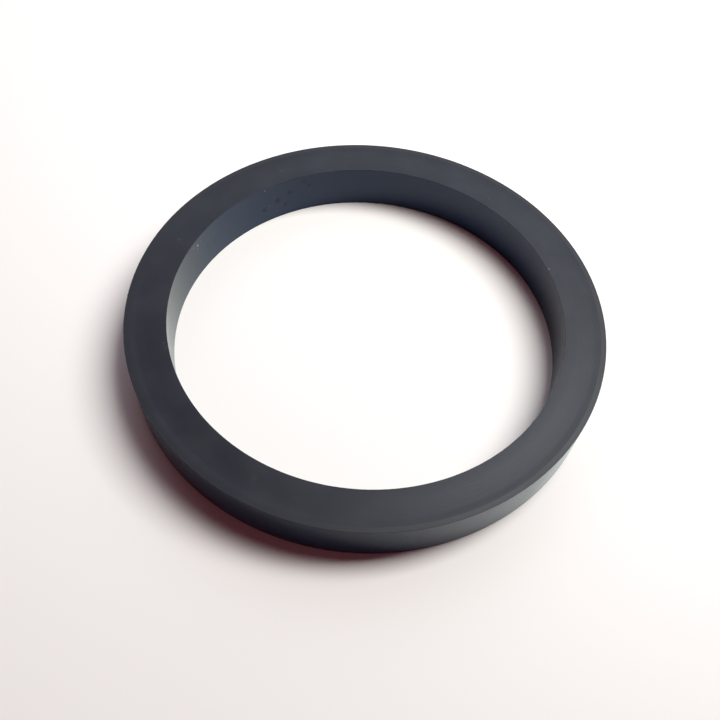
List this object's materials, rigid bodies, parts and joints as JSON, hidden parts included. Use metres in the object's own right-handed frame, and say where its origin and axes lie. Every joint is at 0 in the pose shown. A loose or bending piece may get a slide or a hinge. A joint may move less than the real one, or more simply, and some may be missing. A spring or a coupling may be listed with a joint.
{
  "type": "seal ring",
  "caption": "Flat rubber seal ring of rectangular section, with a straight bore and outer wall and lightly rounded edges, for sealing between two flat faces.",
  "frame": {"origin": "centre of the ring on its lower face", "axes": "+Z along the bore axis, from the lower face to the upper face; X and Y lie in the lower face"},
  "size_m": [0.064, 0.064, 0.0065],
  "materials": {
    "rubber": "satin blue-grey black moulded rubber"
  },
  "bodies": {
    "root": {"seal_ring": "rubber"}
  },
  "joints": []
}
